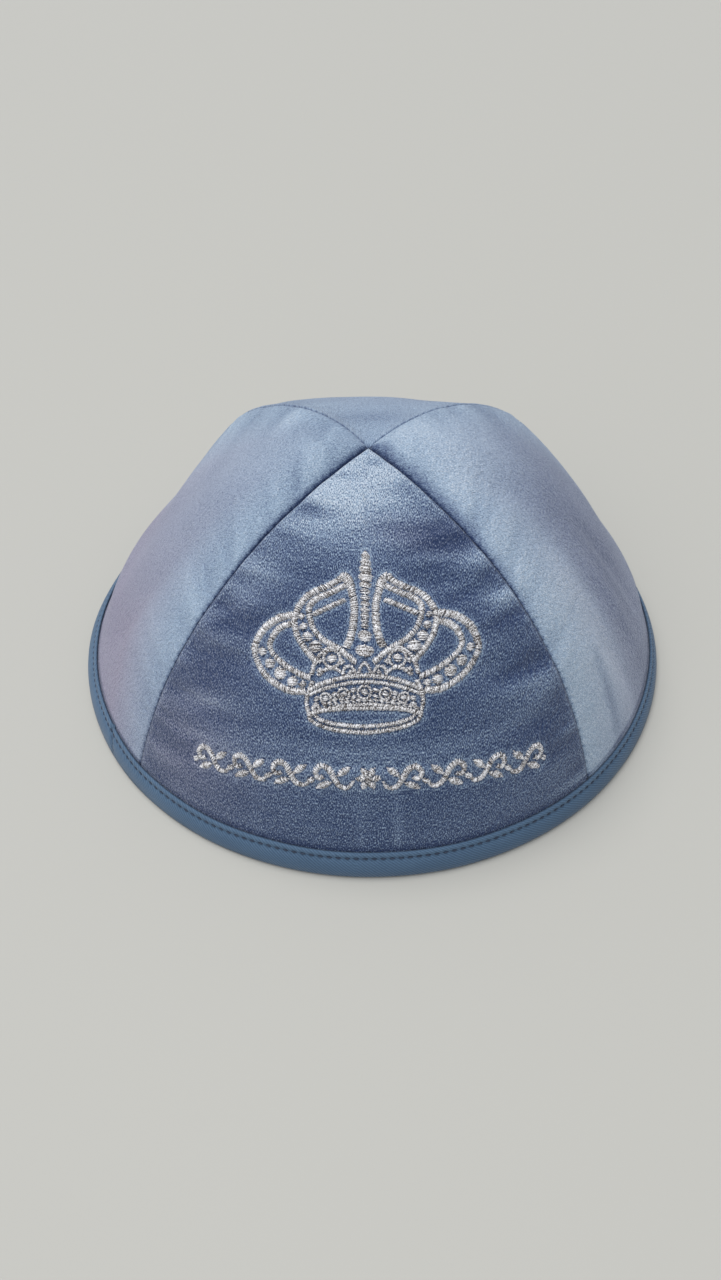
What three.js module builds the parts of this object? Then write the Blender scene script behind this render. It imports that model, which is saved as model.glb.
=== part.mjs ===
// A four-panel velvet skullcap resting on its rim: four sewn cloth panels and a tape folded over their edge.
// Millimetres, +Z up. The origin is the centre of the rim, on the surface that it rests on. -Y is the front.
import * as THREE from 'three';
import { mergeVertices } from 'three/addons/utils/BufferGeometryUtils.js';

// The cap as a whole
const rimRadius = 80; // to the outer face of the cloth at its cut edge
const crownHeight = 63; // the point where the four panels meet, above the rest surface
const clothWall = 2; // velvet and its backing together
const seamGap = 0.3; // between the cut faces of two neighbouring panels

// The binding tape, folded over the cut edge of the cloth
const tapeHeight = 6.8; // from the rest surface up the outside of the cloth
const tapeInnerHeight = 6.2; // the same on the inside
const tapeThickness = 0.8;
const tapeClearance = 0.3; // between the tape and the cloth that it grips
const tapeCorner = 0.9; // radius of the tape's fold at the foot

// Soft dents in the cloth
const dentDepth = 1.3;
const dentLength = 22;
const dentWidth = 7;
const seamHold = 4; // even power of the fade towards a seam: the lower, the softer

// Facets
const columnsPerPanel = 22;
const rowsPerPanel = 20;
const curveSteps = 160; // for measuring along a meridian
const sameCorner = 1e-4; // corners closer together than this are one

// Finishes
const velvetRoughness = 0.95;
const tapeRoughness = 0.6;
const tapeColour = 0x4f7396;

// Eight meridians shape the dome, one down the middle of each panel and one down each seam.
// Each is a cubic curve from the centre point to the cut edge. Its upper handle lies shoulderReach out and
// shoulderRise above the centre point, and its lower handle sideReach out and sideHeight up.
// Reaches are shares of rimRadius, and heights are shares of crownHeight.
const meridians = [
  { place: 'front_left_seam', shoulderReach: 0.57, shoulderRise: -0.09, sideReach: 0.865, sideHeight: 0.51 },
  { place: 'front', shoulderReach: 0.5, shoulderRise: -0.06, sideReach: 0.84, sideHeight: 0.55 },
  { place: 'front_right_seam', shoulderReach: 0.57, shoulderRise: -0.03, sideReach: 0.88, sideHeight: 0.59 },
  { place: 'right', shoulderReach: 0.41, shoulderRise: 0.21, sideReach: 0.83, sideHeight: 0.54 },
  { place: 'back_right_seam', shoulderReach: 0.44, shoulderRise: 0.13, sideReach: 0.9, sideHeight: 0.66 },
  { place: 'back', shoulderReach: 0.59, shoulderRise: -0.1, sideReach: 0.92, sideHeight: 0.46 },
  { place: 'back_left_seam', shoulderReach: 0.31, shoulderRise: 0.15, sideReach: 0.91, sideHeight: 0.68 },
  { place: 'left', shoulderReach: 0.38, shoulderRise: 0.14, sideReach: 0.77, sideHeight: 0.45 },
];

// Where the cloth puckers. across runs from -1 to 1 between a panel's two seams, and down runs from 0 at the
// centre point to 1 at the cut edge. depth, length and width are shares of the dent sizes above, a negative
// depth stands proud, and turn is the angle in degrees from a line across the panel.
const dents = [
  { panel: 'front', across: 0.58, down: 0.36, depth: 0.9, length: 0.6, width: 0.8, turn: 16 },
  { panel: 'front', across: 0.7, down: 0.46, depth: -0.6, length: 0.8, width: 0.8, turn: 24 },
  { panel: 'front', across: 0.72, down: 0.58, depth: 0.7, length: 0.9, width: 0.9, turn: 14 },
  { panel: 'front', across: 0.76, down: 0.72, depth: 0.7, length: 0.8, width: 1, turn: 10 },
  { panel: 'front', across: -0.72, down: 0.44, depth: -0.7, length: 0.9, width: 0.8, turn: -28 },
  { panel: 'front', across: -0.66, down: 0.56, depth: 0.8, length: 0.9, width: 1, turn: -16 },
  { panel: 'front', across: -0.74, down: 0.7, depth: 0.5, length: 0.8, width: 1, turn: -8 },
  { panel: 'front', across: 0, down: 0.77, depth: -0.5, length: 2.6, width: 0.7, turn: 0 },
  { panel: 'front', across: 0.07, down: 0.88, depth: 0.5, length: 0.6, width: 0.6, turn: 90 },
  { panel: 'front', across: 0, down: 0.22, depth: 0.5, length: 1.1, width: 1.3, turn: 0 },
  { panel: 'right', across: -0.6, down: 0.8, depth: 0.8, length: 1.5, width: 0.8, turn: 84 },
  { panel: 'right', across: -0.36, down: 0.76, depth: -0.6, length: 1.5, width: 0.9, turn: 88 },
  { panel: 'right', across: -0.12, down: 0.74, depth: 0.8, length: 1.5, width: 1, turn: 92 },
  { panel: 'right', across: -0.4, down: 0.34, depth: 0.6, length: 0.8, width: 1.1, turn: 70 },
  { panel: 'left', across: 0.45, down: 0.78, depth: 0.6, length: 1.4, width: 1.1, turn: 96 },
  { panel: 'left', across: -0.2, down: 0.6, depth: 0.7, length: 1.6, width: 1.6, turn: 90 },
  { panel: 'back', across: -0.3, down: 0.55, depth: 0.8, length: 1.4, width: 1.5, turn: 80 },
  { panel: 'back', across: 0.4, down: 0.7, depth: 0.6, length: 1.3, width: 1.2, turn: 96 },
];

const panels = [
  { name: 'front', leftSeam: 0, middle: 1, rightSeam: 2, facing: 0, colour: 0x6480ae },
  { name: 'right', leftSeam: 2, middle: 3, rightSeam: 4, facing: 90, colour: 0x8ea6c6 },
  { name: 'back', leftSeam: 4, middle: 5, rightSeam: 6, facing: 180, colour: 0x8096bd },
  { name: 'left', leftSeam: 6, middle: 7, rightSeam: 0, facing: 270, colour: 0x8c9cc4 },
];
const halfPanel = Math.PI / panels.length;
const clothEdge = tapeThickness + tapeClearance; // height of the cloth's cut edge
const slope = Math.hypot(rimRadius, crownHeight); // about the length of a meridian
const tapeStart = 1 - tapeHeight / slope; // share of the way down where the tape begins

// The two handles of a meridian, in millimetres
function handlesOf(row) {
  return {
    upper: new THREE.Vector2(row.shoulderReach * rimRadius, (1 + row.shoulderRise) * crownHeight),
    lower: new THREE.Vector2(row.sideReach * rimRadius, row.sideHeight * crownHeight),
  };
}

// The outer meridian at a place across a panel: both seams pass into the middle one by a parabola,
// which leaves a crease at each seam.
function meridianAt(panel, across) {
  const middleShare = 1 - across * across;
  const rightShare = (across + 1) / 2;
  const left = handlesOf(meridians[panel.leftSeam]);
  const right = handlesOf(meridians[panel.rightSeam]);
  const middle = handlesOf(meridians[panel.middle]);
  const blend = (handle) => {
    const fromSeams = left[handle].clone().lerp(right[handle], rightShare);
    return fromSeams.lerp(middle[handle], middleShare);
  };
  return new THREE.CubicBezierCurve(
    new THREE.Vector2(0, crownHeight),
    blend('upper'),
    blend('lower'),
    new THREE.Vector2(rimRadius, clothEdge),
  );
}

// The outward direction across a meridian, in its own upright plane
function outwardAt(curve, down) {
  const along = curve.getTangent(down);
  return new THREE.Vector2(-along.y, along.x);
}

// How far the cloth is pushed in at a place whose distance from the axis is radius.
// Dents fade out at the seams, at the centre point and at the tape.
function dentAt(panel, across, down, radius) {
  const fade = (1 - across ** seamHold) * Math.sqrt(Math.sin(Math.PI * Math.min(1, down / tapeStart)));
  let total = 0;
  for (const dent of dents.filter((one) => one.panel === panel.name)) {
    const x = (across - dent.across) * halfPanel * radius;
    const y = (down - dent.down) * slope;
    const turn = THREE.MathUtils.degToRad(dent.turn);
    const along = (x * Math.cos(turn) + y * Math.sin(turn)) / (0.5 * dent.length * dentLength);
    const beside = (y * Math.cos(turn) - x * Math.sin(turn)) / (0.5 * dent.width * dentWidth);
    total += dent.depth * dentDepth * Math.exp(-along * along - beside * beside);
  }
  return total * fade;
}

// A point of a panel. Its sides keep half the seam gap from the upright plane of the seam.
function panelPoint(panel, across, radius, height) {
  const innermost = (0.5 * seamGap) / Math.sin(halfPanel);
  const clear = Math.max(radius, innermost);
  const reach = halfPanel - Math.asin(Math.min(1, (0.5 * seamGap) / clear));
  const azimuth = THREE.MathUtils.degToRad(panel.facing) + across * reach;
  return new THREE.Vector3(clear * Math.sin(azimuth), -clear * Math.cos(azimuth), height);
}

// The outer or the inner face of a panel: down is 0 at the centre point and 1 at the cut edge.
function clothPoint(panel, across, down, outside) {
  const curve = meridianAt(panel, across);
  const outer = curve.getPoint(down);
  const outward = outwardAt(curve, down);
  outer.addScaledVector(outward, -dentAt(panel, across, down, outer.x));
  if (outside) return panelPoint(panel, across, outer.x, outer.y);
  // At the centre point the wall is measured straight down, and at the cut edge straight across.
  if (down === 0) return panelPoint(panel, across, outer.x, outer.y - clothWall);
  if (down === 1) return panelPoint(panel, across, outer.x - clothWall / outward.x, outer.y);
  outer.addScaledVector(outward, -clothWall);
  return panelPoint(panel, across, outer.x, outer.y);
}

// Joins the shared corners of a shape and drops the faces that have closed up to a line.
function closedSolid(geometry) {
  geometry.deleteAttribute('normal');
  geometry.deleteAttribute('uv');
  const merged = mergeVertices(geometry, sameCorner);
  const corners = merged.index.array;
  const kept = [];
  for (let i = 0; i < corners.length; i += 3) {
    const [a, b, c] = [corners[i], corners[i + 1], corners[i + 2]];
    if (a !== b && b !== c && c !== a) kept.push(a, b, c);
  }
  merged.setIndex(kept);
  merged.computeVertexNormals();
  return merged;
}

// One panel: a thin slab bent to the dome, which runs to a point at the centre.
function panelGeometry(panel) {
  const slab = new THREE.BoxGeometry(2, 1, 1, columnsPerPanel, rowsPerPanel, 1);
  const corners = slab.getAttribute('position');
  for (let i = 0; i < corners.count; i++) {
    const across = corners.getX(i);
    const down = Math.round((0.5 - corners.getY(i)) * rowsPerPanel) / rowsPerPanel;
    const point = clothPoint(panel, across, down, corners.getZ(i) > 0);
    corners.setXYZ(i, point.x, point.y, point.z);
  }
  return closedSolid(slab);
}

// The place on a meridian whose length down to the cut edge is the one asked for
function placeAbove(curve, length) {
  const edge = curve.getPoint(1);
  let last = edge;
  let total = 0;
  for (let step = 1; step <= curveSteps; step++) {
    const down = 1 - step / curveSteps;
    const next = curve.getPoint(down);
    const piece = next.distanceTo(last);
    if (total + piece >= length) return down + (1 - (length - total) / piece) / curveSteps;
    total += piece;
    last = next;
  }
  return 0;
}

// The section of the binding tape at one azimuth, as radius and height, in order round the outline:
// up the outside, down inside the slot, up its other wall and down the inside to the flat foot.
function tapeSection(panel, across) {
  const curve = meridianAt(panel, across);
  const edgeOutward = outwardAt(curve, 1);
  const lean = edgeOutward.y / edgeOutward.x; // how much the wall moves in for each millimetre up
  const beside = (lengthUp, offset) => {
    const down = placeAbove(curve, lengthUp);
    return curve.getPoint(down).addScaledVector(outwardAt(curve, down), offset);
  };
  // A point of a face that stands offset from the cloth's outer face, at a height near the cut edge
  const atHeight = (height, offset) => {
    const radius = rimRadius + offset / edgeOutward.x - (height - clothEdge) * lean;
    return new THREE.Vector2(radius, height);
  };
  const outerFace = tapeClearance + tapeThickness;
  const slotOuter = tapeClearance;
  const slotInner = -clothWall - tapeClearance;
  const innerFace = slotInner - tapeThickness;
  const outerTop = tapeHeight - clothEdge;
  const innerTop = tapeInnerHeight - clothEdge;
  const bevel = tapeCorner * (1 - Math.SQRT1_2);
  const foot = (offset, inwards, height, inset) => {
    const point = atHeight(height, offset);
    point.x += inwards * inset;
    return point;
  };
  return [
    foot(outerFace, -1, 0, tapeCorner),
    foot(outerFace, -1, bevel, bevel),
    atHeight(tapeCorner, outerFace),
    beside(0.5 * outerTop, outerFace),
    beside(outerTop, outerFace),
    beside(outerTop, slotOuter),
    beside(0.5 * outerTop, slotOuter),
    atHeight(tapeThickness, slotOuter),
    atHeight(tapeThickness, slotInner),
    beside(0.5 * innerTop, slotInner),
    beside(innerTop, slotInner),
    beside(innerTop, innerFace),
    beside(0.5 * innerTop, innerFace),
    atHeight(tapeCorner, innerFace),
    foot(innerFace, 1, bevel, bevel),
    foot(innerFace, 1, 0, tapeCorner),
  ];
}

// The tape: a ring whose section is worked out from the cloth at each azimuth
function tapeGeometry() {
  const sections = [];
  for (const panel of panels) {
    for (let i = 0; i < columnsPerPanel; i++) {
      const across = (2 * i) / columnsPerPanel - 1;
      const azimuth = THREE.MathUtils.degToRad(panel.facing) + across * halfPanel;
      sections.push({ azimuth, outline: tapeSection(panel, across) });
    }
  }
  const around = sections.length;
  const outlinePoints = sections[0].outline.length;
  const ring = new THREE.TorusGeometry(rimRadius, tapeThickness, outlinePoints, around);
  const corners = ring.getAttribute('position');
  for (let i = 0; i < corners.count; i++) {
    const outlineIndex = Math.floor(i / (around + 1)) % outlinePoints;
    const { azimuth, outline } = sections[(i % (around + 1)) % around];
    const { x: radius, y: height } = outline[outlineIndex];
    corners.setXYZ(i, radius * Math.sin(azimuth), -radius * Math.cos(azimuth), height);
  }
  return closedSolid(ring);
}

function clothMesh(name, geometry, colour, roughness) {
  const material = new THREE.MeshStandardMaterial({ color: colour, roughness, metalness: 0 });
  const mesh = new THREE.Mesh(geometry, material);
  mesh.name = name;
  return mesh;
}

const cap = new THREE.Group();
cap.name = 'four_panel_skullcap';
for (const panel of panels) {
  cap.add(clothMesh(`panel_${panel.name}`, panelGeometry(panel), panel.colour, velvetRoughness));
}
cap.add(clothMesh('binding_tape', tapeGeometry(), tapeColour, tapeRoughness));

export default cap;
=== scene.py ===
import math

import bmesh
import bpy
import numpy as np
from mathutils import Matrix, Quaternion, Vector, noise
from mathutils.kdtree import KDTree


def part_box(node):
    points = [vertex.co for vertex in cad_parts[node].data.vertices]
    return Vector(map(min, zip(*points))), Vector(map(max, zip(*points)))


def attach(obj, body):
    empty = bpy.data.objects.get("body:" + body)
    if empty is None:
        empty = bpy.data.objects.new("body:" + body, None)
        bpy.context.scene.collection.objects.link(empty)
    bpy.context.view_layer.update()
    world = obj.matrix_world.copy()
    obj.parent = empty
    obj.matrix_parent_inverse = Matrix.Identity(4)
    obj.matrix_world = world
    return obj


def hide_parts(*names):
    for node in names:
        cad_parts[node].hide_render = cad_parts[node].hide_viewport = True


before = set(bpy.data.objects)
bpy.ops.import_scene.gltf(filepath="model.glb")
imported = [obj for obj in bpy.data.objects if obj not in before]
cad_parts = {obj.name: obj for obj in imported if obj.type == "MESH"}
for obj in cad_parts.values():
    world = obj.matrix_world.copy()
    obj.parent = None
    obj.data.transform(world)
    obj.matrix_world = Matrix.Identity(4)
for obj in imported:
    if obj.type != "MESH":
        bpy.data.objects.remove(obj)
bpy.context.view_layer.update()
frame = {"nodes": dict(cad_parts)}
print("frame:", ", ".join(frame["nodes"]))

mm = 0.001
frontLow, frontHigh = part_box("panel_front")
rimRadius = -frontLow[1]
crownHeight = frontHigh[2]
clothEdge = frontLow[2]  # height of the cloth's cut edge, inside the tape
halfPanel = math.pi / 4
slope = math.hypot(rimRadius, crownHeight)  # the straight way from the centre point to the rim

# Eight meridians from the centre point to the rim: how far out and how high the upper handle
# lies, then the lower one, as shares of the rim's radius and of the crown's height
dome = {
    "meridians": [
        (0.57, 0.91, 0.865, 0.51),  # front left seam
        (0.50, 0.94, 0.840, 0.55),  # middle of the front
        (0.57, 0.97, 0.880, 0.59),  # front right seam
        (0.41, 1.21, 0.830, 0.54),  # middle of the right
        (0.44, 1.13, 0.900, 0.66),  # back right seam
        (0.59, 0.90, 0.920, 0.46),  # middle of the back
        (0.31, 1.15, 0.910, 0.68),  # back left seam
        (0.38, 1.14, 0.770, 0.45),  # middle of the left
    ],
    "dentDepth": 1.3 * mm,
    "dentLength": 22 * mm,
    "dentWidth": 7 * mm,
    "tapeStart": 0.93,  # share of the way down where the tape begins
    # where the soft rim gives way inwards: azimuth and half width in degrees, depth
    "pulls": [(-110, 18, 1.8 * mm), (112, 16, 1.3 * mm)],
}

# across and down place a dent on its panel; depth, length and width are shares of the sizes above
dents = {
    "front": [
        (0.58, 0.36, 0.9, 0.6, 0.8, 16), (0.70, 0.46, -0.6, 0.8, 0.8, 24),
        (0.72, 0.58, 0.7, 0.9, 0.9, 14), (0.76, 0.72, 0.7, 0.8, 1.0, 10),
        (-0.72, 0.44, -0.7, 0.9, 0.8, -28), (-0.66, 0.56, 0.8, 0.9, 1.0, -16),
        (-0.74, 0.70, 0.5, 0.8, 1.0, -8), (0.00, 0.77, -0.5, 2.6, 0.7, 0),
        (0.07, 0.88, 0.5, 0.6, 0.6, 90), (0.00, 0.22, 0.5, 1.1, 1.3, 0),
    ],
    "right": [
        (-0.60, 0.80, 0.8, 1.5, 0.8, 84), (-0.36, 0.76, -0.6, 1.5, 0.9, 88),
        (-0.12, 0.74, 0.8, 1.5, 1.0, 92), (-0.40, 0.34, 0.6, 0.8, 1.1, 70),
        (0.30, 0.88, -1.2, 3.2, 1.4, 0), (0.60, 0.90, -1.5, 2.4, 1.2, 0),
    ],
    "back": [
        (-0.30, 0.55, 0.8, 1.4, 1.5, 80), (0.40, 0.70, 0.6, 1.3, 1.2, 96),
    ],
    "left": [
        (0.45, 0.78, 0.6, 1.4, 1.1, 96), (-0.20, 0.60, 0.7, 1.6, 1.6, 90),
        (-0.62, 0.90, -1.7, 2.4, 1.2, 0), (-0.45, 0.74, 0.4, 2.6, 1.8, 0),
        (-0.32, 0.88, -1.8, 3.4, 1.4, 0),
    ],
}

panels = {
    "order": ["front", "right", "back", "left"],
    "columns": {"front": 210, "right": 150, "back": 140, "left": 150},
    "rows": {"front": 210, "right": 200, "back": 180, "left": 200},
    "edgeCrowding": 0.72,  # how much closer the columns stand beside a seam
    "wall": 2.0 * mm,
    "seamDip": (0.95 * mm, 0.45 * mm),  # at the top and at the rim
    "seamEnd": 0.9,  # share of the way down where a seam has its value at the rim
    "seamSoftness": 0.42 * mm,
    "gatherDepth": {"front": 1.9 * mm, "right": 0.7 * mm, "back": 0.5 * mm, "left": 0.7 * mm},
    "gatherSpacing": 5.5 * mm,
    "gatherLength": 24 * mm,
    "gatherReach": 9 * mm,
    "gatherStart": 1.8 * mm,  # the seam holds the cloth flat up to here
    "gatherShift": 3.7,  # sets the waves of one seam apart from the next one's
    "gatherOctaves": 2,
    "cutEdge": 0.985,  # the cloth's own edge lies inside the fold of the tape
    "crumple": 0.35 * mm,
    "crumpleSize": 26 * mm,
    "crumpleOctaves": 3,
}


# the outer meridian: radius, height and the outward direction in its own upright plane
def meridianAt(panel, across, down):
    first = 2 * panels["order"].index(panel)
    rows = np.array(dome["meridians"])
    left, middle, right = rows[first], rows[first + 1], rows[(first + 2) % len(rows)]
    seams = left + (right - left) * ((across + 1) / 2)[..., None]
    handles = seams + (middle - seams) * (1 - across**2)[..., None]
    out1, up1, out2, up2 = np.moveaxis(handles, -1, 0)
    s = 1 - down
    t = down
    radius = rimRadius * (3 * s * s * t * out1 + 3 * s * t * t * out2 + t**3)
    azimuth = (first + across) * math.degrees(halfPanel)
    for centre, width, depth in dome["pulls"]:
        beside = (azimuth - centre + 180) % 360 - 180
        radius = radius - depth * np.exp(-((beside / width) ** 2)) * t**3
    height = crownHeight * (s**3 + 3 * s * s * t * up1 + 3 * s * t * t * up2) + t**3 * clothEdge
    radiusRate = rimRadius * 3 * (s * s * out1 + 2 * s * t * (out2 - out1) + t * t * (1 - out2))
    heightRate = 3 * crownHeight * (s * s * (up1 - 1) + 2 * s * t * (up2 - up1) - t * t * up2)
    heightRate = heightRate + 3 * t * t * clothEdge
    size = np.hypot(radiusRate, heightRate)
    return radius, height, -heightRate / size, radiusRate / size


def aroundAxis(radius, azimuth, height):
    return np.stack([radius * np.sin(azimuth), -radius * np.cos(azimuth), height], axis=-1)


# a point at a lift off the plain dome
def domePoint(panel, across, down, lift):
    across, down, lift = np.broadcast_arrays(*map(np.float64, (across, down, lift)))
    radius, height, outward, upward = meridianAt(panel, across, down)
    azimuth = (panels["order"].index(panel) * 2 + across) * halfPanel
    return aroundAxis(radius + outward * lift, azimuth, height + upward * lift)


# The sum of soft oval spots, given by rows of place across, place down, strength, length, width, turn
def spotsAt(rows, across, down, radius, lengthUnit=mm, widthUnit=mm):
    total = np.zeros_like(radius)
    for atAcross, atDown, strength, length, width, turn in rows:
        x = (across - atAcross) * halfPanel * radius
        y = (down - atDown) * slope
        turn = math.radians(turn)
        along = (x * math.cos(turn) + y * math.sin(turn)) / (0.5 * length * lengthUnit)
        beside = (y * math.cos(turn) - x * math.sin(turn)) / (0.5 * width * widthUnit)
        total += strength * np.exp(-along * along - beside * beside)
    return total


def fractalAt(places, octaves):
    values = [noise.fractal(Vector(place), 1.0, 2.0, octaves) for place in places.reshape(-1, 3)]
    return np.reshape(values, places.shape[:-1])


# the distance to the nearer seam, and the waves in which the cloth is gathered along it
def gatherAt(panel, across, down, radius):
    fromSeam = (1 - np.abs(across)) * halfPanel * radius
    along = down * slope / panels["gatherSpacing"]
    shift = panels["gatherShift"] * ((2 * panels["order"].index(panel) + np.sign(across)) % 8)
    places = np.stack([along, fromSeam / panels["gatherLength"], shift], axis=-1)
    swell = np.exp(-fromSeam / panels["gatherReach"]) - np.exp(-fromSeam / panels["gatherStart"])
    return fromSeam, fractalAt(places, panels["gatherOctaves"]) * swell


# how far the cloth stands off the plain dome: dents, puckers at the seams and a slight crumple
def reliefAt(panel, across, down):
    radius = meridianAt(panel, across, down)[0]
    hold = np.sqrt(np.sin(math.pi * np.minimum(1, down / dome["tapeStart"])).clip(0))
    dented = spotsAt(dents[panel], across, down, radius, dome["dentLength"], dome["dentWidth"])
    lift = -dome["dentDepth"] * dented * (1 - across**4) * hold
    fromSeam, gather = gatherAt(panel, across, down, radius)
    lift += panels["gatherDepth"][panel] * gather * hold
    places = domePoint(panel, across, down, 0) / panels["crumpleSize"]
    lift += panels["crumple"] * fractalAt(places, panels["crumpleOctaves"]) * hold
    dip = np.interp(down, (0, panels["seamEnd"]), panels["seamDip"])
    return lift - dip * np.exp(-fromSeam / panels["seamSoftness"])


# Places on the front panel in metres: u to the side of its middle, v up from the cut edge
frontDown = np.linspace(0, 1, 400)
frontRun = np.array(meridianAt("front", np.zeros(400), frontDown)[:2])
frontLength = np.append(0, np.cumsum(np.hypot(*np.diff(frontRun, axis=1))))


def frontPlace(u, v):
    down = np.interp(frontLength[-1] - v, frontLength, frontDown)
    across = u / (np.interp(down, frontDown, frontRun[0]) * halfPanel)
    return across, down


def onFront(u, v, lift):
    across, down = frontPlace(u, v)
    return domePoint("front", across, down, lift + reliefAt("front", across, down))


# A node's socket. Sums and products of wires and numbers add Math nodes.
class Wire:
    def __init__(self, finish, socket):
        self.finish = finish
        self.socket = socket

    def maths(self, operation, first, second):
        return self.finish.node("Math", {"operation": operation}, {0: first, 1: second})

    def __add__(self, other):
        return self.maths("ADD", self, other)

    __radd__ = __add__

    def __sub__(self, other):
        return self.maths("SUBTRACT", self, other)

    def __rsub__(self, other):
        return self.maths("SUBTRACT", other, self)

    def __mul__(self, other):
        return self.maths("MULTIPLY", self, other)

    __rmul__ = __mul__


# One material and the method that adds its nodes
class Finish:
    def __init__(self, name):
        self.material = bpy.data.materials.new(name)
        self.material.use_nodes = True
        self.tree = self.material.node_tree
        self.tree.nodes.clear()

    def node(self, kind, settings=None, sockets=None, output=0):
        made = self.tree.nodes.new("ShaderNode" + kind)
        for key, value in (settings or {}).items():
            if key == "stops":
                ramp = made.color_ramp.elements
                while len(ramp) < len(value):
                    ramp.new(1)
                for element, (position, colour) in zip(ramp, value):
                    element.position = position
                    element.color = (*colour, 1)
            else:
                setattr(made, key, value)
        for key, value in (sockets or {}).items():
            named = [s for s in made.inputs if s.enabled and s.name == key]
            socket = made.inputs[key] if isinstance(key, int) else named[0]
            if isinstance(value, Wire):
                self.tree.links.new(value.socket, socket)
            else:
                socket.default_value = value
        shown = [s for s in made.outputs if s.enabled]
        return Wire(self, shown[output] if isinstance(output, int) else made.outputs[output])

    def blend(self, share, low, high):
        settings = {"data_type": "RGBA", "clamp_factor": True}
        return self.node("Mix", settings, {"Factor": share, "A": low, "B": high})

    def ramp(self, share, stops):
        return self.node("ValToRGB", {"stops": stops}, {"Fac": share})

    def attribute(self, name):
        return self.node("Attribute", {"attribute_name": name}, output="Fac")

    # noise over the piece's own map or, with no map, over its Object coordinates
    def grain(self, scale, stretch=(1, 1, 1), detail=2.0, uvMap=None):
        if uvMap:
            place = self.node("UVMap", {"uv_map": uvMap})
        else:
            place = self.node("TexCoord", output="Object")
        place = self.node("Mapping", None, {"Vector": place, "Scale": stretch})
        settings = {"Vector": place, "Scale": scale, "Detail": detail}
        return self.node("TexNoise", None, settings, output="Fac")

    def bump(self, height, strength, distance):
        sockets = {"Height": height, "Strength": strength, "Distance": distance}
        return self.node("Bump", None, sockets)

    def done(self, sockets):
        shader = self.node("BsdfPrincipled", None, sockets)
        end = self.tree.nodes.new("ShaderNodeOutputMaterial")
        self.tree.links.new(shader.socket, end.inputs["Surface"])
        return self.material


def rgba(red, green, blue):
    return (red, green, blue, 1)


velvet = {
    "deep": rgba(0.015, 0.034, 0.104),
    "middle": rgba(0.118, 0.172, 0.295),
    "bright": rgba(0.378, 0.500, 0.645),
    "glint": rgba(0.640, 0.720, 0.820),
    "stops": {"deep": 0.0, "middle": 0.36, "bright": 0.80, "glint": 1.0},
    "contrast": 0.8,
    "lilac": rgba(0.345, 0.318, 0.425),
    "shader": {
        "Roughness": 0.78,
        "Specular IOR Level": 0.2,
        "Sheen Weight": 0.42,
        "Sheen Roughness": 0.45,
        "Sheen Tint": rgba(0.82, 0.89, 1.0),
    },
    "grainScale": 3000,
    "grainStretch": (1.5, 0.7, 1),  # the pile lies down the panel
    "frontGrain": 3.2,
    "sideGrain": 1.4,
    "tuftScale": 900,
    "tuftStretch": (1.3, 0.7, 1),
    "tuftShare": 0.45,
    "tuftHeight": 1.5,
    "cloudScale": 46,
    "cloudShare": 0.35,
    "bump": (0.9, 0.4 * mm),  # strength and height
}


def velvetFinish(name, grainShare):
    finish = Finish(name)
    fine = finish.grain(velvet["grainScale"], velvet["grainStretch"], 1.0, "cloth")
    tuft = finish.grain(velvet["tuftScale"], velvet["tuftStretch"], 2.0, "cloth")
    cloud = finish.grain(velvet["cloudScale"], detail=3.0, uvMap="cloth")
    # the nap's tone, which holds painted sheen, highlights and shade, with grain over it
    shade = finish.attribute("pile") + (fine - 0.5) * grainShare
    shade = shade + (tuft - 0.5) * velvet["tuftShare"] + (cloud - 0.5) * velvet["cloudShare"]
    stops = [(place, velvet[tone][:3]) for tone, place in velvet["stops"].items()]
    colour = finish.ramp(shade * velvet["contrast"], stops)
    lilac = finish.blend(shade, velvet["deep"], velvet["lilac"])
    colour = finish.blend(finish.attribute("lilac"), colour, lilac)
    normal = finish.bump(fine + tuft * velvet["tuftHeight"], *velvet["bump"])
    return finish.done({"Base Color": colour, "Normal": normal, **velvet["shader"]})


# the wrong side of the cloth
backing = {
    "deep": rgba(0.07, 0.10, 0.18),
    "bright": rgba(0.15, 0.21, 0.33),
    "weaveScale": 1900,
    "cloudScale": 60,
    "shader": {"Roughness": 0.85, "Specular IOR Level": 0.2},
    "bump": (0.4, 0.25 * mm),
}


def backingFinish(name):
    finish = Finish(name)
    weave = finish.grain(backing["weaveScale"], uvMap="cloth")
    cloud = finish.grain(backing["cloudScale"], detail=3.0, uvMap="cloth")
    colour = finish.blend(weave * 0.5 + cloud * 0.5, backing["deep"], backing["bright"])
    normal = finish.bump(weave, *backing["bump"])
    return finish.done({"Base Color": colour, "Normal": normal, **backing["shader"]})


twill = {
    "deep": rgba(0.034, 0.076, 0.145),
    "bright": rgba(0.115, 0.205, 0.325),
    # painted highlight for the band above the stitches
    "worn": rgba(0.20, 0.30, 0.43),
    # painted shade for the creases and for the fold where the tape's ends meet
    "crease": rgba(0.010, 0.022, 0.050),
    "ribTurn": 52,  # degrees
    "ribSpacing": 0.62 * mm,
    "ribsPerUnit": 3.1,  # at a scale of 1
    "ribWaver": 1.2,
    "ribShare": 0.45,
    "fineScale": 2400,
    "fineShare": 0.35,
    "cloudScale": 90,
    "cloudStretch": (1, 2, 1),
    "cloudShare": 0.35,
    "darker": 0.1,
    "roughness": (0.55, 0.2),  # the least, and what the fine grain adds
    "shader": {"Specular IOR Level": 0.35, "Sheen Weight": 0.15, "Sheen Roughness": 0.4},
    "bump": (0.45, 0.22 * mm),
}


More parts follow.
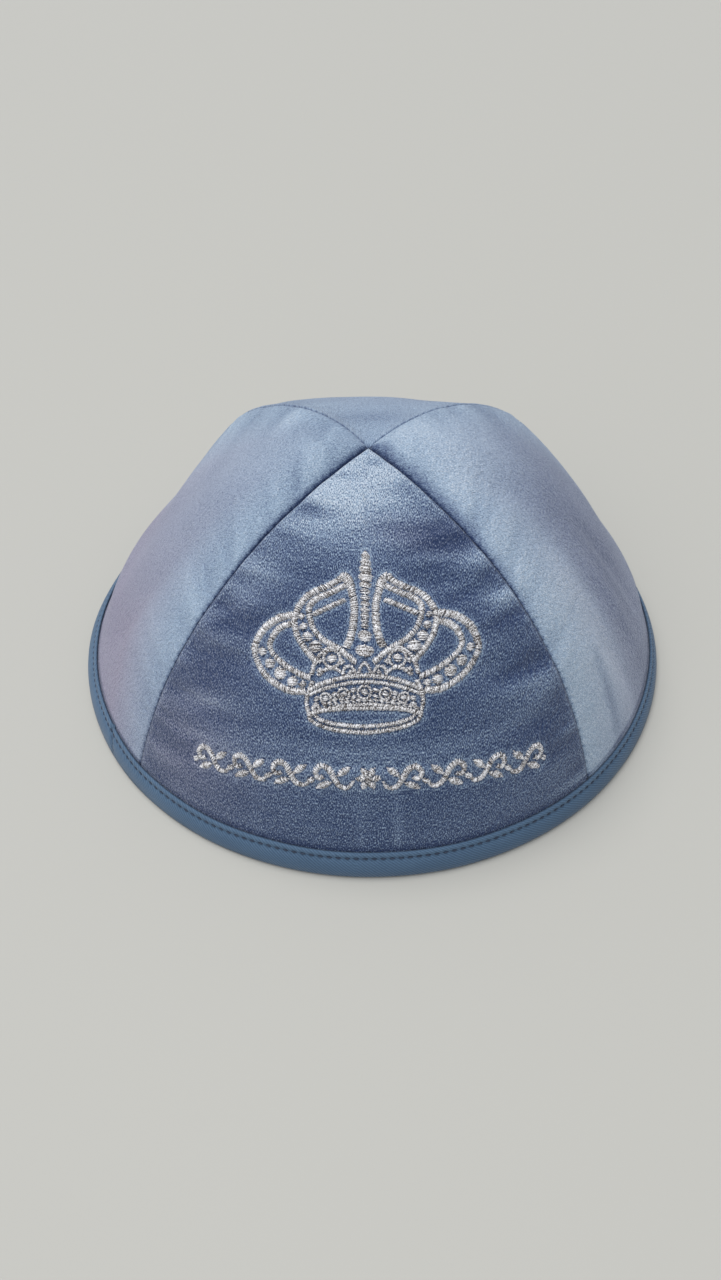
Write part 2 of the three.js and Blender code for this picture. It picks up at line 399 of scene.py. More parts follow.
def twillFinish(name):
    finish = Finish(name)
    place = finish.node("UVMap", {"uv_map": "cloth"})
    turn = (0, 0, math.radians(twill["ribTurn"]))
    place = finish.node("Mapping", None, {"Vector": place, "Rotation": turn})
    settings = {"wave_type": "BANDS", "bands_direction": "X", "wave_profile": "SIN"}
    scale = 1 / twill["ribSpacing"] / twill["ribsPerUnit"]
    sockets = {"Vector": place, "Scale": scale, "Distortion": twill["ribWaver"], "Detail": 1.0}
    ribs = finish.node("TexWave", settings, sockets, output="Fac")
    fine = finish.grain(twill["fineScale"], uvMap="cloth")
    cloud = finish.grain(twill["cloudScale"], twill["cloudStretch"], 3.0, "cloth")
    shade = ribs * twill["ribShare"] + fine * twill["fineShare"] + cloud * twill["cloudShare"]
    colour = finish.blend(shade - twill["darker"], twill["deep"], twill["bright"])
    # a painted highlight on the band above the stitches, and painted shade in the creases and the fold
    for mark in ("worn", "crease"):
        colour = finish.blend(finish.attribute(mark), colour, twill[mark])
    least, added = twill["roughness"]
    normal = finish.bump(ribs + fine, *twill["bump"])
    changing = {"Base Color": colour, "Roughness": least + fine * added, "Normal": normal}
    return finish.done({**changing, **twill["shader"]})


silverThread = {
    "stops": [
        (0.0, (0.07, 0.06, 0.06)),
        (0.3, (0.38, 0.35, 0.33)),
        (0.6, (0.66, 0.66, 0.68)),
        (0.9, (0.95, 0.96, 0.99)),
    ],
    "sparkScale": 3500,
    "sparkShare": 3.6,
    "shader": {"Metallic": 0.3, "Roughness": 0.45},
    "bump": (0.5, 0.1 * mm),
}


def silverFinish(name):
    finish = Finish(name)
    spark = finish.grain(silverThread["sparkScale"], detail=1.0)
    shade = finish.attribute("tone") + (spark - 0.5) * silverThread["sparkShare"]
    colour = finish.ramp(shade, silverThread["stops"])
    normal = finish.bump(spark, *silverThread["bump"])
    return finish.done({"Base Color": colour, "Normal": normal, **silverThread["shader"]})


sewingThread = {
    "deep": rgba(0.012, 0.020, 0.045),
    "bright": rgba(0.045, 0.070, 0.125),
    "twistScale": 3000,
    "shader": {"Roughness": 0.6},
    "bump": (0.3, 0.1 * mm),
}


def sewingFinish(name):
    finish = Finish(name)
    twist = finish.grain(sewingThread["twistScale"], detail=1.0)
    colour = finish.blend(twist, sewingThread["deep"], sewingThread["bright"])
    normal = finish.bump(twist, *sewingThread["bump"])
    return finish.done({"Base Color": colour, "Normal": normal, **sewingThread["shader"]})


# Light and dark patches: brushed nap, and some painted light and shade (marked below): across, down,
# change, length and width in mm, turn
napAndLightPatches = {
    "front": [
        # the first two: painted sheen, bright over the top of the front by the centre point
        (0.05, 0.00, 0.86, 72, 44, 0), (0.00, 0.17, 0.16, 46, 18, 0),
        (-0.60, 0.22, 0.16, 18, 10, -10), (0.62, 0.24, -0.36, 18, 7, 18),
        (0.86, 0.27, -0.20, 10, 3, 16), (0.78, 0.31, 0.34, 14, 4, 14),
        (0.76, 0.36, -0.16, 18, 4, 12), (0.88, 0.42, 0.28, 10, 6, 30),
        (0.88, 0.50, -0.18, 10, 6, 16), (0.82, 0.58, -0.18, 14, 9, 10),
        (0.60, 0.68, -0.10, 20, 14, 0), (0.80, 0.80, -0.12, 16, 7, 10),
        (-0.90, 0.43, -0.14, 8, 5, -30), (-0.83, 0.40, 0.44, 15, 8, -36),
        (-0.88, 0.465, 0.34, 10, 5, -30), (-0.88, 0.51, -0.24, 12, 5, -24),
        (-0.92, 0.57, 0.20, 9, 6, -20), (-0.70, 0.57, -0.12, 14, 12, -10),
        (-0.90, 0.65, -0.22, 14, 4.5, -14), (-0.76, 0.68, 0.40, 14, 4, -10),
        (-0.68, 0.71, -0.16, 22, 6, -6), (-0.76, 0.765, 0.36, 24, 3, -8),
        (-0.92, 0.81, -0.24, 16, 6, -8), (0.00, 0.32, -0.08, 50, 16, 0),
        # the first: a painted highlight along the raised band over the lettering
        (0.00, 0.715, 0.20, 92, 4.5, 0), (-0.86, 0.80, 0.07, 12, 8, 0),
        (0.80, 0.86, -0.05, 20, 16, 0), (0.16, 0.90, 0.20, 24, 2.0, 90),
        (0.02, 0.90, 0.12, 22, 2.6, 90), (-0.40, 0.92, 0.08, 18, 4.0, 90),
    ],
    "right": [
        (-0.85, 0.45, 0.22, 34, 90, 0), (-0.10, 0.20, 0.12, 40, 30, 0),
        (-0.90, 0.86, 0.34, 12, 46, 8), (-0.75, 0.84, -0.26, 4, 26, 6),
        (-0.62, 0.76, 0.36, 8, 50, 4), (-0.36, 0.84, -0.14, 14, 46, 0),
        # the first: painted shade over the far side of the right panel
        (0.02, 0.66, -0.40, 58, 64, 0), (-0.20, 0.66, -0.10, 10, 56, 4),
    ],
    "back": [
        (0.00, 0.10, 0.10, 60, 30, 0), (0.00, 0.13, -0.20, 26, 9, 0),
        (0.40, 0.60, 0.12, 12, 50, 8), (-0.30, 0.70, -0.12, 14, 50, -6),
        (-0.70, 0.50, 0.10, 16, 30, 0), (0.75, 0.80, -0.10, 20, 20, 0),
    ],
    "left": [
        (0.86, 0.50, 0.04, 20, 80, 0), (0.20, 0.70, -0.06, 16, 50, 0),
        (-0.50, 0.60, 0.08, 14, 50, 6),
    ],
}

# the panel's plain tone, from the lay of its nap and from painted sheen: the sides, seen aslant, are
# painted lighter and the front, seen head-on, darker. lilac: how far it turns to lilac at its middle
tones = {
    "front": {"pile": 0.22, "lilac": 0.0},
    "right": {"pile": 0.82, "lilac": 0.50},
    "back": {"pile": 0.72, "lilac": 0.35},
    "left": {"pile": 0.80, "lilac": 0.90},
    "gatherShade": {"front": 1.2, "right": 0.35, "back": 0.12, "left": 0.35},
    "seamShade": {"front": -0.55, "other": -0.20},
    "seamWidth": 0.32 * mm,
    # how the painted shade along the front's seams fades: its share at the top and at the rim
    "seamFade": (1.25, 0.15),
    # beside the front the other panels' nap leans over the seam, with painted shade under it, darkest
    # near the top
    "overhangShade": {"right": -0.50, "back": 0, "left": -0.30},
    "overhangWidth": {"right": 2.3 * mm, "back": 1 * mm, "left": 1.0 * mm},
    "overhangFade": (1.6, 2.6, 0.1),  # its share at the top, what it loses on the way down, its least
    "edgeShine": 0.16,  # a painted highlight on the folded edge beside the seam
    "edgePlace": 1.0 * mm,
    # painted shade in the puckers at the seam's stitches
    "dimpleShade": -0.30,
    "notchSpacing": 2.3 * mm,
    "notchWidth": 0.7 * mm,
    # painted shade in the crease over the tape
    "crease": -0.55,
    "creaseHeight": 5.9 * mm,
    "creaseWidth": 0.55 * mm,
    "range": (0.02, 1),
    # how much further the lilac keeps from the seams at the top, and how fast it comes in
    "lilacBeside": (0.2, 2.3),
    "lilacStart": (0.12, 1.4),  # how far down it starts, and how fast it comes in
    # more lilac, in rows like those of the patches
    "lilacPatches": {
        "front": [
            (-0.85, 0.85, 0.6, 46, 34, 0), (-0.85, 0.60, 0.25, 26, 44, 0),
            (0.62, 0.25, 0.35, 20, 9, 18),
        ],
        "right": [(0.00, 0.55, 0.15, 50, 60, 0)],
        "back": [],
        "left": [(0.70, 0.95, 0.40, 60, 44, 0)],
    },
}


# The tone of the nap on a panel: brushed patches of nap, with painted light and shade laid over them
def napAndLightAt(panel, across, down):
    radius = meridianAt(panel, across, down)[0]
    pile = tones[panel]["pile"] + spotsAt(napAndLightPatches[panel], across, down, radius)
    fromSeam, gather = gatherAt(panel, across, down, radius)
    # painted light and shade following the gathers' waves
    pile += tones["gatherShade"][panel] * gather
    # painted shade in the puckers at the seam's stitches
    dimpleShade = (0.5 + 0.5 * np.cos(2 * math.pi * down * slope / tones["notchSpacing"])) ** 2
    pile += tones["dimpleShade"] * dimpleShade * np.exp(-((fromSeam / tones["notchWidth"]) ** 2))
    # painted shade in the crease over the tape
    overTape = ((1 - down) * slope - tones["creaseHeight"]) / tones["creaseWidth"]
    pile += tones["crease"] * np.exp(-(overTape**2))
    # painted shade in the seams' grooves, fading down the front's seams
    towardFront = {"front": 1.0, "right": across < 0, "back": 0.0, "left": across > 0}[panel]
    front = tones["seamShade"]["front"] * np.interp(down, (0, panels["seamEnd"]), tones["seamFade"])
    shade = tones["seamShade"]["other"] * (1 - towardFront) + front * towardFront
    pile += shade * np.exp(-((fromSeam / tones["seamWidth"]) ** 2))
    if panel == "front":
        # a painted highlight along the front's folded edge
        edge = (fromSeam - tones["edgePlace"]) / tones["seamWidth"]
        pile += tones["edgeShine"] * np.exp(-(edge**2))
    else:
        # painted shade where the side panels' nap leans over the front's seams
        start, loss, least = tones["overhangFade"]
        lean = np.exp(-((fromSeam / tones["overhangWidth"][panel]) ** 2)) * towardFront
        pile += tones["overhangShade"][panel] * lean * (start - loss * down).clip(least, 1)
    return pile


def lilacAt(panel, across, down):
    narrower, rate = tones["lilacBeside"]
    middle = ((1 - np.abs(across) - narrower * (1 - down**2)) * rate).clip(0, 1)
    start, rate = tones["lilacStart"]
    share = tones[panel]["lilac"] * middle * ((down - start) * rate).clip(0, 1)
    radius = meridianAt(panel, across, down)[0]
    return share + spotsAt(tones["lilacPatches"][panel], across, down, radius)


def addObject(name, data):
    made = bpy.data.objects.new(name, data)
    bpy.context.scene.collection.objects.link(made)
    return made


def meshFrom(shape, name):
    mesh = bpy.data.meshes.new(name)
    shape.to_mesh(mesh)
    shape.free()
    return mesh


# Adds a mesh object at the origin and finishes what every piece needs
def addPiece(name, mesh, slots):
    piece = addObject(name, mesh)
    for material in slots:
        mesh.materials.append(material)
    mesh.polygons.foreach_set("use_smooth", np.ones(len(mesh.polygons), bool))
    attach(piece, "root")
    print("made", name, len(mesh.polygons), "faces")
    return piece


def coordinates(mesh):
    places = np.empty(len(mesh.vertices) * 3)
    mesh.vertices.foreach_get("co", places)
    return places.reshape(-1, 3)


def setAttribute(mesh, name, values):
    layer = mesh.attributes.new(name, "FLOAT", "POINT")
    layer.data.foreach_set("value", np.asarray(values, np.float32))


def setMap(mesh, sideways, lengthways):
    corners = np.empty(len(mesh.loops), np.int32)
    mesh.loops.foreach_get("vertex_index", corners)
    pairs = np.stack([sideways[corners], lengthways[corners]], axis=-1)
    mesh.uv_layers.new(name="cloth").data.foreach_set("uv", pairs.astype(np.float32).ravel())


# A flat grid in across and down, whose top row is drawn together to the centre point
def panelGrid(panel):
    grid = bmesh.new()
    columns, rows = panels["columns"][panel], panels["rows"][panel]
    bmesh.ops.create_grid(grid, x_segments=columns, y_segments=rows, size=1)
    for vertex in grid.verts:
        crowded = math.sin(vertex.co.x * math.pi / 2)
        vertex.co.x += (crowded - vertex.co.x) * panels["edgeCrowding"]
        if vertex.co.y > 1 - 0.5 / rows:
            vertex.co.x = 0
    bmesh.ops.remove_doubles(grid, verts=grid.verts[:], dist=1e-6)
    return meshFrom(grid, "panel_cloth_" + panel)


def makePanel(panel, pressed):
    mesh = panelGrid(panel)
    flat = coordinates(mesh)
    across = flat[:, 0]
    down = panels["cutEdge"] * (1 - flat[:, 1]) / 2
    lift = reliefAt(panel, across, down)
    places = domePoint(panel, across, down, lift)
    # the nap's tone with its painted light and shade
    pile = napAndLightAt(panel, across, down)
    if pressed:
        sink, brushed = pressed(places)
        places = domePoint(panel, across, down, lift - sink)
        pile = pile + brushed
    mesh.vertices.foreach_set("co", places.ravel())
    radius = meridianAt(panel, across, down)[0]
    setMap(mesh, across * halfPanel * radius, down * slope)
    setAttribute(mesh, "pile", pile.clip(*tones["range"]))
    setAttribute(mesh, "lilac", lilacAt(panel, across, down))
    mesh.update()
    grainShare = velvet["frontGrain"] if panel == "front" else velvet["sideGrain"]
    slots = [velvetFinish("velvet_" + panel, grainShare), backingFinish("backing_" + panel)]
    piece = addPiece("panel_cloth_" + panel, mesh, slots)
    wall = piece.modifiers.new("wall", "SOLIDIFY")
    wall.thickness = panels["wall"]
    wall.offset = -1
    wall.material_offset = 1
    wall.material_offset_rim = 0
    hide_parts("panel_" + panel)


# The tape folded over the rim
tape = {
    "around": 1200,
    "top": 5.7 * mm,  # up the wall from the cut edge, outside
    "innerTop": 5.1 * mm,
    "wall": 2.0 * mm,
    "gap": 0.3 * mm,
    "stitchLine": 4.15 * mm,
    "stitchSpacing": 2.1 * mm,
    "stitchLength": 1.35 * mm,
    "stitchRadius": 0.21 * mm,
    "stitchArch": 0.10 * mm,
    "stitchOut": 0.66 * mm,
    "stitchIn": 0.50 * mm,
    "stitchLean": 0.35,
    "waver": 0.11 * mm,
    "waves": [(3, 0.8, 1.0), (7, 2.0, 0.7), (17, 0.0, 0.5)],  # how many around, start, share
    # share of the way down from which the wall is followed, and in how many steps
    "wallStart": 0.88,
    "wallSteps": 25,
    # The cross-section in mm, down the outside, round the foot and up and down inside: where a ring
    # is measured from and how far up it lies, how far out from the cloth's outer or inner face, and
    # how far a stitch pulls it in
    "outside": [
        ("top", -0.25, 0.05, 0),
        ("top", -0.04, 0.22, 0),
        ("top", 0.00, 0.45, 0.08),
        ("top", -0.15, 0.72, 0.12),
        ("top", -0.50, 0.92, 0.12),
        ("stitch", 0.55, 0.98, 0.14),
        ("stitch", 0.25, 0.86, 0.20),
        ("stitch", 0.00, 0.78, 0.26),
        ("stitch", -0.28, 0.86, 0.20),
        ("stitch", -0.65, 1.02, 0.10),
        ("stitch", -1.30, 1.14, 0),
        ("stitch", -2.30, 1.18, 0),
        ("stitch", -3.30, 1.15, 0),
    ],
    "footSpread": 0.25 * mm,
    # share of the way under the rim, height in mm
    "foot": [(0.0, 0.55), (0.07, 0.2), (0.2, 0.02), (0.5, 0.0), (0.8, 0.02), (0.93, 0.2), (1.0, 0.55)],
    "inside": [
        ("edge", 0.60, -0.95, 0),
        ("edge", 1.60, -0.95, 0),
        ("edge", 2.90, -0.85, 0),
        ("stitch", -0.60, -0.72, 0),
        ("stitch", 0.00, -0.45, 0),
        ("stitch", 0.40, -0.66, 0),
        ("innerTop", -0.25, -0.62, 0),
        ("innerTop", 0.00, -0.35, 0),
        ("innerTop", -0.20, -0.05, 0),
        ("edge", 3.00, -0.02, 0),
        ("edge", 0.80, -0.02, 0),
        ("edge", 0.80, 2.60, 0),  # the last two lie past the cloth's edge, against its outer face
        ("edge", 3.00, 2.40, 0),
    ],
    # rings with a painted highlight, on the band above the stitches
    "bandHighlightRings": (4, 5),
    "bandHighlightShare": 0.08,
    # rings painted in shade, in the crease where the tape meets the cloth
    "shadedRings": (0, 1, 2),
    "shadedShare": 0.75,
    # where the tape's ends meet in a slanting fold
    "joinAzimuth": -53.5,
    "joinHeight": 3 * mm,
    "joinSlant": 0.9,
    "joinDepth": 0.45 * mm,
    "joinWidth": 0.6 * mm,
    # how much painted shade lies in that fold
    "joinShare": 0.45,
}
innerFace = -tape["wall"] - tape["gap"]  # from the cloth's outer face, with room for the tape
stitchCount = round(2 * math.pi * rimRadius / tape["stitchSpacing"])


def rimPlace(azimuth):
    turns = np.mod(azimuth / halfPanel + 1, 8)
    index = np.minimum(3, np.floor(turns / 2)).astype(int)
    return index, turns - 2 * index - 1


# Radius and height at a length up the wall from the cut edge and an offset from the cloth's face
def besideWall(azimuth, up, offset):
    index, across = rimPlace(azimuth)
    steps = np.linspace(1, tape["wallStart"], tape["wallSteps"])
    radius = np.empty_like(azimuth)
    height = np.empty_like(azimuth)
    for number, panel in enumerate(panels["order"]):
        chosen = index == number
        sides = np.broadcast_to(across[chosen, None], (chosen.sum(), len(steps)))
        lines = meridianAt(panel, sides, np.broadcast_to(steps, sides.shape))
        run = np.cumsum(np.hypot(np.diff(lines[0]), np.diff(lines[1])), axis=1)
        run = np.concatenate([np.zeros((len(run), 1)), run], axis=1)
        wanted = np.broadcast_to(up, azimuth.shape)[chosen]
        stand = np.broadcast_to(offset, azimuth.shape)[chosen]
        found = np.empty((len(run), 4))
        for row, length in enumerate(wanted):
            found[row] = [np.interp(length, run[row], line[row]) for line in lines]
        below = np.minimum(0, wanted)  # past the cut edge the wall runs on straight
        radius[chosen] = found[:, 0] - below * found[:, 3] + stand * found[:, 2]
        height[chosen] = found[:, 1] + below * found[:, 2] + stand * found[:, 3]
    return radius, height


def tapeWave(azimuth):
    waves = [share * np.sin(count * azimuth + start) for count, start, share in tape["waves"]]
    return tape["waver"] * sum(waves)


def sectionRings(rows, face, azimuth):
    wave = tapeWave(azimuth)
    pull = 0.5 + 0.5 * np.cos(stitchCount * azimuth)  # 1 at the middle of each stitch
    starts = {"top": tape["top"] + wave, "stitch": tape["stitchLine"] + wave}
    starts |= {"innerTop": tape["innerTop"], "edge": 0}
    rings = []
    for start, up, offset, pulled in rows:
        out = face + (offset - pulled * pull) * mm
        rings.append(besideWall(azimuth, starts[start] + up * mm, out))
    return rings


# 1 in the fold between the tape's two ends, 0 away from it
def joinAt(azimuth, height):
    turn = azimuth - math.radians(tape["joinAzimuth"])
    beside = (np.mod(turn + math.pi, 2 * math.pi) - math.pi) * rimRadius
    beside = beside + tape["joinSlant"] * (height - tape["joinHeight"])
    return np.exp(-((beside / tape["joinWidth"]) ** 2))


def makeTape(finish):
    around = tape["around"]
    azimuth = np.linspace(0, 2 * math.pi, around, endpoint=False)
    rings = sectionRings(tape["outside"], 0, azimuth)
    innerRings = sectionRings(tape["inside"], innerFace, azimuth)
    outerFoot = rings[-1][0] + tape["footSpread"]
    innerFoot = innerRings[0][0] - tape["footSpread"]
    for share, height in tape["foot"]:
        foot = outerFoot + (innerFoot - outerFoot) * share
        rings.append((foot, np.full(around, height * mm)))
    rings += innerRings
    section = len(rings)

    grid = bmesh.new()
    bmesh.ops.create_grid(grid, x_segments=around, y_segments=section, size=1)
    mesh = meshFrom(grid, "rim_tape")
    flat = coordinates(mesh)
    column = np.rint((flat[:, 0] + 1) / 2 * around).astype(int)
    row = np.rint((flat[:, 1] + 1) / 2 * section).astype(int)
    place = row % section, column % around
    radii = np.array([ring[0] for ring in rings])
    heights = np.array([ring[1] for ring in rings]).clip(0)
    join = joinAt(azimuth, heights)
    join[len(tape["outside"]) :] = 0  # the fold shows on the outside alone
    radii -= tape["joinDepth"] * join
    places = aroundAxis(radii[place], azimuth[place[1]], heights[place])
    mesh.vertices.foreach_set("co", places.ravel())
    middles = np.array([radii.mean(1), heights.mean(1)])
    steps = np.hypot(*np.diff(middles, append=middles[:, :1]))
    widths = np.append(0, np.cumsum(steps))
    setMap(mesh, column / around * 2 * math.pi * rimRadius, widths[row])
    # a painted highlight on the band above the stitches
    setAttribute(mesh, "worn", np.isin(row, tape["bandHighlightRings"]) * tape["bandHighlightShare"])
    # painted shade in the crease at the tape's top and in the fold where its ends meet
    shaded = np.isin(row, tape["shadedRings"]) * tape["shadedShare"]
    setAttribute(mesh, "crease", np.maximum(shaded, tape["joinShare"] * join[place]))
    mesh.update()
    closing = bmesh.new()
    closing.from_mesh(mesh)
    bmesh.ops.remove_doubles(closing, verts=closing.verts[:], dist=1e-6)
    bmesh.ops.recalc_face_normals(closing, faces=closing.faces[:])
    closing.to_mesh(mesh)
    closing.free()
    piece = addPiece("rim_tape", mesh, [finish])
    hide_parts("binding_tape")


# Threads: each stitch is a short rod that bends over from its start to its end
threads = {"sides": 5, "bends": 2, "endTaper": 0.5, "taperPower": 6}


def rodShape():
    rod = bmesh.new()
    bmesh.ops.create_cone(rod, cap_ends=True, segments=threads["sides"], radius1=1, radius2=1, depth=1)
    lengthwise = [edge for edge in rod.edges if abs(edge.verts[0].co.z - edge.verts[1].co.z) > 0.5]
    bmesh.ops.subdivide_edges(rod, edges=lengthwise, cuts=threads["bends"])
    bmesh.ops.triangulate(rod, faces=rod.faces[:])
    points = np.array([vertex.co[:] for vertex in rod.verts])
    corners = np.array([[vertex.index for vertex in face.verts] for face in rod.faces])
    rod.free()
    return points, corners


def unit(rows):
    return rows / np.linalg.norm(rows, axis=-1, keepdims=True)


# starts, ends and ups are rows of three; arch and radius hold a number for each stitch
def makeStitches(name, starts, ends, ups, arch, radius, tone, finish):
    points, corners = rodShape()
    count = len(starts)
    along = points[:, 2][None, :, None]
    taper = 1 - threads["endTaper"] * np.abs(2 * along) ** threads["taperPower"]
    span = ends - starts
    side = unit(np.cross(span, ups))
    rise = unit(np.cross(side, span))
    middle = (starts + ends) / 2
    bend = arch[:, None, None] * (1 - (2 * along) ** 2)
    thick = radius[:, None, None] * taper
    places = middle[:, None] + span[:, None] * along + rise[:, None] * bend
    places = places + side[:, None] * points[None, :, 0:1] * thick
    places = places + rise[:, None] * points[None, :, 1:2] * thick
    triangles = corners[None] + np.arange(count)[:, None, None] * len(points)
    mesh = bpy.data.meshes.new(name)
    mesh.from_pydata(places.reshape(-1, 3), [], triangles.reshape(-1, 3).tolist())
    setAttribute(mesh, "tone", np.repeat(tone, len(points)))
    addPiece(name, mesh, [finish])


# A smooth run through a few points, in even steps
def smoothRun(points, pitch):
    line = np.array(points, float)
    line = np.vstack([2 * line[0] - line[1], line, 2 * line[-1] - line[-2]])
    share = np.linspace(0, 1, embroidery["curveSteps"], endpoint=False)[:, None]
    parts = []
    for a, b, c, d in zip(line, line[1:], line[2:], line[3:]):
        curve = 2 * b + (c - a) * share + (2 * a - 5 * b + 4 * c - d) * share**2
        parts.append((curve + (3 * b - a - 3 * c + d) * share**3) / 2)
    fine = np.vstack([*parts, line[-2]])
    length = np.append(0, np.cumsum(np.linalg.norm(np.diff(fine, axis=0), axis=1)))
    stops = np.linspace(0, length[-1], max(3, round(length[-1] / pitch) + 1))
    return np.column_stack([np.interp(stops, length, fine[:, axis]) for axis in (0, 1)])


# The embroidery's stitches as rows of start and end points, in millimetres on the flat cloth
embroidery = {
    "pitch": 0.20,
    "threadRadius": 0.13 * mm,
    "sunk": 0.22 * mm,  # how deep the ends of a stitch go into the pile
    "arch": 0.58 * mm,
    "slant": 0.2,
    "scatter": 0.08,
    "fullness": 1.22,  # how much broader the satin lies than it is drawn
    "leastWidth": 0.3,  # of a dot or leaf, at its ends
    "curveSteps": 16,  # between two drawn points
    "normalStep": 0.5 * mm,  # over which the cloth's slope is taken
    "shortArch": 0.55,  # share of the arch that the shortest stitches have
    "fullArch": 1.5 * mm,  # length of a stitch with the whole arch
    "archRange": (0.75, 1.25),
    "radiusRange": (0.85, 1.15),
    "tone": (0.66, 0.17),  # mean and spread
    "darkShare": 0.14,  # of the stitches, those that show a dark side
    "darker": 0.45,
    "seed": 5,
}


def satinRun(points, width):
    path = smoothRun(points, embroidery["pitch"])
    tangent = unit(np.gradient(path, axis=0))
    normal = np.column_stack([-tangent[:, 1], tangent[:, 0]])
    share = np.linspace(0, 1, len(path))
    half = width(share) if callable(width) else np.full(len(path), width)
    half = half * embroidery["fullness"] / 2
    slant = tangent * embroidery["slant"]
    starts = path - normal * half[:, None] - slant
    ends = path + normal * half[:, None] + slant
    return np.hstack([starts, ends])


def satinDot(x, y, radius, flatness=1.0):
    height = radius * flatness

    def profile(share):
        return embroidery["leastWidth"] + 2 * radius * np.sqrt((1 - (2 * share - 1) ** 2).clip(0))

    return satinRun([(x, y - height), (x, y), (x, y + height)], profile)


def arc(x, y, across, up, start, stop, count):
    angles = np.radians(np.linspace(start, stop, count))
    return np.column_stack([x + across * np.cos(angles), y + up * np.sin(angles)])


def mirrored(rows):
    return rows * np.array([-1, 1, -1, 1])


# Half of the crown: width and points of each line, from the crown's own middle and foot
crown = {
    "place": (1.5, 34.5),
    "turn": 1.3,
    "pairedLines": [
        (1.35, [(5.2, 35.1), (8.6, 32.9), (12.1, 30.9), (14.4, 28.3), (15.9, 25.0), (15.4, 21.2),
                (13.1, 17.9), (10.6, 15.6)]),
        (1.25, [(4.6, 33.4), (7.7, 31.5), (11.0, 29.7), (12.6, 27.6), (12.4, 25.2), (11.4, 22.8),
                (9.3, 20.8), (5.6, 19.0), (2.0, 16.2)]),
        (1.3, [(2.9, 33.2), (3.7, 35.1), (4.8, 35.9), (5.7, 34.9)]),
        (1.65, [(4.3, 35.2), (3.2, 32.6), (2.5, 29.8), (2.4, 26.8), (2.7, 23.6), (3.3, 21.3),
                (4.1, 19.5)]),
        (1.0, [(4.5, 30.1), (8.0, 28.3), (11.6, 26.2)]),
        (1.45, [(16.3, 25.4), (19.8, 23.9), (22.9, 21.3), (25.0, 18.1), (25.7, 14.8), (23.7, 11.4),
                (20.2, 9.4), (16.6, 8.5), (13.2, 9.0)]),
        (1.25, [(15.9, 23.7), (18.9, 22.3), (21.1, 19.8), (21.9, 17.3), (20.6, 15.4), (17.8, 13.8),
                (14.9, 12.7), (12.2, 12.0)]),
        (0.8, [(2.2, 16.4), (4.4, 18.2), (7.2, 19.2), (9.6, 17.8), (11.2, 15.4), (11.9, 12.8)]),
        (0.7, [(4.6, 13.4), (6.2, 14.6), (8.4, 14.4), (10.4, 12.8)]),
        (0.9, [(11.6, 11.4), (12.5, 9.2), (13.0, 6.8), (12.7, 4.9), (12.3, 3.5)]),
        (0.65, [(1.9, 13.8), (3.0, 15.3), (4.4, 14.9), (4.8, 13.6)]),
        (0.65, [(0.0, 16.3), (0.8, 15.2), (1.3, 13.9)]),
    ],
    "pairedDots": [
        (14.3, 25.4, 0.6), (13.9, 23.2, 0.8), (12.9, 21.0, 1.05), (11.0, 19.1, 1.3),
        (23.8, 15.8, 0.8), (21.9, 13.6, 1.1), (19.3, 11.9, 1.35), (16.3, 10.7, 1.1),
        (13.9, 10.5, 0.7), (7.3, 16.8, 0.85), (4.6, 9.1, 0.6), (8.6, 7.9, 0.55),
        (2.5, 10.0, 0.5), (2.4, 8.6, 0.45), (6.7, 9.0, 0.5), (6.6, 7.8, 0.45),
        (10.7, 7.6, 0.5), (10.9, 6.2, 0.5), (3.2, 14.0, 0.45), (10.0, 14.0, 0.5),
        (9.9, 16.0, 0.45), (5.0, 16.2, 0.5),
    ],
    "middleDots": [
        (0, 22.1, 1.4, 0.9), (0, 18.7, 2.0, 0.66), (0, 9.6, 0.65, 1.0), (0, 33.6, 1.25, 0.6),
        (0, 32.1, 1.00, 0.65), (0, 30.7, 0.92, 0.7), (0, 29.3, 0.88, 0.7), (0, 27.9, 0.84, 0.7),
        (0, 26.6, 0.80, 0.7), (0, 25.4, 0.75, 0.7), (0, 24.3, 0.70, 0.7),
    ],
    "rings": [(7.3, 16.8, 1.9, 0.65), (4.6, 9.1, 1.25, 0.5), (8.6, 7.9, 1.15, 0.5)],
    "middleRing": (0, 9.6, 1.45, 0.5),
    # how high each line of the band lies at its middle and at its ends, and its width
    "band": [(13.3, 9.4, 0.95), (11.9, 8.3, 0.75), (6.9, 3.9, 0.85)],
    "bandHalf": 12.4,
    # the row of small beads over the foot: how high at its middle and its ends, how many, how big
    "beads": (7.9, 4.9, 19, 0.4),
    "beadReach": 0.92,  # of the band
    # half widths and heights of the foot's two ovals, and their middles
    "footOval": (12.4, 2.7, 3.4, 0.9),
    "innerOval": (11.0, 1.9, 3.9, 0.8),
    "curvePoints": {"ring": 13, "band": 9, "footOval": 25, "innerOval": 15},
    # how high each swelling and each waist of the spire lies, and its width
    "spire": [
        (34.6, 2.6), (35.6, 3.6), (36.5, 2.4), (37.4, 3.2), (38.2, 2.1),
        (39.0, 2.6), (39.8, 1.7), (40.6, 2.2), (41.5, 1.0),
    ],
}


